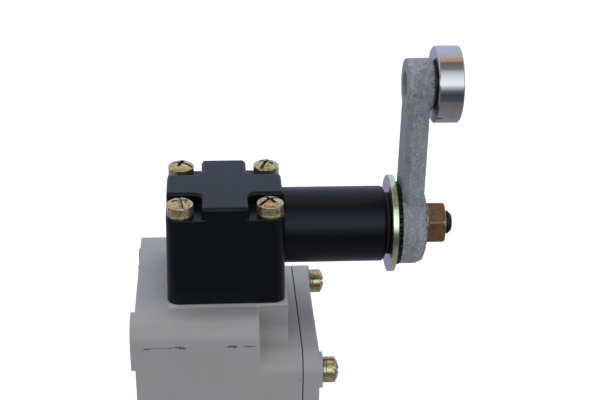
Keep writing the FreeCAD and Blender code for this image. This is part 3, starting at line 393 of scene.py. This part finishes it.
YELLOW_FILM = [
    (0.34, (0.46, 0.20, 0.17)),
    (0.41, (0.66, 0.40, 0.20)),
    (0.47, (0.40, 0.58, 0.40)),
    (0.53, (0.78, 0.62, 0.28)),
    (0.59, (0.48, 0.58, 0.24)),
    (0.66, (0.74, 0.36, 0.38)),
]
OLIVE_FILM = [
    (0.34, (0.30, 0.14, 0.10)),
    (0.45, (0.36, 0.22, 0.12)),
    (0.55, (0.28, 0.22, 0.12)),
    (0.66, (0.38, 0.19, 0.15)),
]
LILAC_FILM = [(0.3, (0.46, 0.44, 0.54)), (0.5, (0.54, 0.46, 0.55)), (0.7, (0.44, 0.52, 0.55))]
GREEN_FILM = [(0.3, (0.62, 0.70, 0.38)), (0.5, (0.82, 0.93, 0.55)), (0.7, (0.60, 0.74, 0.62))]


def paint_nodes():
    """Each CAD node gets the look of its material slot, and the dust washer its own plating."""
    slots = {
        "grey_paint": grey_paint(),
        "black_paint": black_paint(),
        "rubber": moulded("rubber", (0.018, 0.018, 0.019), 0.6, 0.3),
        "yellow_zinc": chromate("yellow_zinc", YELLOW_FILM, 0.16, shine=0.4),
        "olive_zinc": chromate("olive_zinc", OLIVE_FILM, 0.28, size=3.0, rounding=0.25, shine=0.8),
        "bronze": plain_metal("bronze", (0.55, 0.32, 0.14), 0.4),
        "brass": plain_metal("brass", (0.70, 0.50, 0.20), 0.3),
        "silver": plain_metal("silver", (0.85, 0.84, 0.80), 0.2),
        "shaft_steel": turned_steel("shaft_steel", (0.42, 0.42, 0.43), 0.3),
        "black_steel": turned_steel("black_steel", (0.03, 0.03, 0.032), 0.38),
        "cast_lever": cast_lever(),
        "roller_steel": turned_steel("roller_steel", (0.62, 0.62, 0.63), 0.09),
        "spring_steel": plain_metal("spring_steel", (0.40, 0.40, 0.42), 0.3),
        "white_plastic": moulded("white_plastic", (0.62, 0.60, 0.54), 0.4),
        "black_plastic": moulded("black_plastic", (0.02, 0.02, 0.022), 0.4),
    }
    pale = washer_plate()
    for part in frame["record"]["subparts"]:
        node = frame["nodes"][part["node"]]
        node.data.materials.clear()
        node.data.materials.append(pale if part["node"] == "dust_washer" else slots[part["material_slot"]])


# What polished metal and satin paint mirror, by height above the horizon: 0 is ahead of the
# fixing plane's right-hand side, 90 straight up, 180 the far side. Colours are radiance.
SURROUND = [
    (-180, (0.50, 0.52, 0.66)),
    (-150, (0.34, 0.31, 0.42)),
    (-105, (0.28, 0.29, 0.35)),
    (-65, (0.25, 0.23, 0.25)),
    (-38, (0.22, 0.18, 0.18)),
    (-28, (0.09, 0.10, 0.11)),
    (-9, (0.07, 0.08, 0.09)),
    (1, (0.17, 0.20, 0.21)),
    (11, (0.70, 0.74, 0.80)),
    (20, (1.38, 1.45, 1.50)),
    (38, (1.12, 1.22, 1.30)),
    (56, (0.72, 0.80, 0.90)),
    (66, (0.28, 0.27, 0.27)),
    (88, (0.20, 0.17, 0.15)),
    (93, (0.66, 0.42, 0.28)),
    (104, (0.74, 0.50, 0.38)),
    (109, (0.66, 0.60, 0.60)),
    (140, (0.60, 0.68, 0.92)),
    (180, (0.58, 0.62, 0.80)),
]
BRIGHTEST = 1.5
AMBIENT = (0.93, 0.95, 1.0)
AMBIENT_STRENGTH = 0.9

# Softboxes: name, place, width and height, power, colour. Both face AIM.
SOFTBOXES = [
    ("top_soft", (0.1, 0.25, 0.9), (0.9, 0.9), 6.0, (0.92, 0.96, 1.0)),
    ("right_soft", (0.9, -0.4, 0.3), (0.5, 0.6), 1.2, (1.0, 0.97, 0.92)),
]
AIM = (0.04, 0.0, 0.05)
FLOOR = (0.86, 0.86, 0.86)
FLOOR_SIZE = 60.0

# The viewing angle, distance and lens that put every edge where it was seen.
AZIMUTH, ELEVATION, ROLL = (math.radians(angle) for angle in (-4.56, 29.55, 1.16))
DISTANCE = 308.2 * MM
TARGET = Vector((41.44, 0.0, 36.3)) * MM
LENS = 73.67
SENSOR = 36.0
SHIFT_UP = 0.1224
NEAREST = 0.01


def make_world():
    """Even pale light, and a softly banded room for the reflections."""
    world = bpy.data.worlds.new("studio")
    bpy.context.scene.world = world
    world.use_nodes = True
    tree = world.node_tree
    plain = tree.nodes["Background"]
    plain.inputs["Color"].default_value = (*AMBIENT, 1.0)
    plain.inputs["Strength"].default_value = AMBIENT_STRENGTH
    way = tree.nodes.new("ShaderNodeTexCoord")
    split = tree.nodes.new("ShaderNodeSeparateXYZ")
    tree.links.new(way.outputs["Generated"], split.inputs[0])
    toward = tree.nodes.new("ShaderNodeMath")
    toward.operation = "MULTIPLY"
    toward.inputs[1].default_value = -1.0
    tree.links.new(split.outputs["Y"], toward.inputs[0])
    angle = tree.nodes.new("ShaderNodeMath")
    angle.operation = "ARCTAN2"
    tree.links.new(split.outputs["Z"], angle.inputs[0])
    tree.links.new(toward.outputs[0], angle.inputs[1])
    share = tree.nodes.new("ShaderNodeMapRange")
    share.inputs["From Min"].default_value = -math.pi
    share.inputs["From Max"].default_value = math.pi
    tree.links.new(angle.outputs[0], share.inputs["Value"])
    ramp = tree.nodes.new("ShaderNodeValToRGB")
    elements = ramp.color_ramp.elements
    while len(elements) < len(SURROUND):
        elements.new(0.5)
    for element, (degrees, color) in zip(elements, SURROUND):
        element.position = (degrees + 180) / 360
        element.color = (*(c / BRIGHTEST for c in color), 1.0)
    tree.links.new(share.outputs["Result"], ramp.inputs["Fac"])
    room = tree.nodes.new("ShaderNodeBackground")
    room.inputs["Strength"].default_value = BRIGHTEST
    tree.links.new(ramp.outputs["Color"], room.inputs["Color"])
    ray = tree.nodes.new("ShaderNodeLightPath")
    choose = tree.nodes.new("ShaderNodeMixShader")
    tree.links.new(ray.outputs["Is Glossy Ray"], choose.inputs["Fac"])
    tree.links.new(plain.outputs[0], choose.inputs[1])
    tree.links.new(room.outputs[0], choose.inputs[2])
    tree.links.new(choose.outputs[0], tree.nodes["World Output"].inputs["Surface"])


def make_floor():
    """A plain pale plane at the lowest point of the switch."""
    low = cad_box[0][2]
    bpy.ops.mesh.primitive_plane_add(size=FLOOR_SIZE, location=(0.0, 0.0, low))
    floor = bpy.context.object
    floor.name = "floor"
    floor.visible_glossy = False
    floor.data.materials.append(Look("floor", FLOOR, roughness=0.9, specular=0.1).material)


def make_lights():
    """Soft lamps that light the surfaces but don't show in reflections."""
    for name, place, size, power, color in SOFTBOXES:
        data = bpy.data.lights.new(name, "AREA")
        data.shape = "RECTANGLE"
        data.size, data.size_y = size
        data.energy = power
        data.color = color
        lamp = bpy.data.objects.new(name, data)
        lamp.location = place
        lamp.visible_glossy = False
        way = Vector(AIM) - Vector(place)
        lamp.rotation_euler = way.to_track_quat("-Z", "Y").to_euler()
        bpy.context.scene.collection.objects.link(lamp)


def make_camera():
    back = Vector((
        math.sin(AZIMUTH) * math.cos(ELEVATION),
        -math.cos(AZIMUTH) * math.cos(ELEVATION),
        math.sin(ELEVATION),
    ))
    right = (-back).cross(Vector((0.0, 0.0, 1.0))).normalized()
    up = right.cross(-back)
    tilted_right = right * math.cos(ROLL) + up * math.sin(ROLL)
    tilted_up = up * math.cos(ROLL) - right * math.sin(ROLL)
    data = bpy.data.cameras.new("camera")
    data.sensor_width = SENSOR
    data.lens = LENS
    data.shift_y = SHIFT_UP
    data.clip_start = NEAREST
    camera = bpy.data.objects.new("camera", data)
    turn = Matrix((tilted_right, tilted_up, back)).transposed().to_4x4()
    camera.matrix_world = Matrix.Translation(TARGET + back * DISTANCE) @ turn
    bpy.context.scene.collection.objects.link(camera)
    bpy.context.scene.camera = camera


make_camera()
bpy.context.scene.view_settings.view_transform = "Standard"
paint_nodes()
make_world()
make_floor()
make_lights()
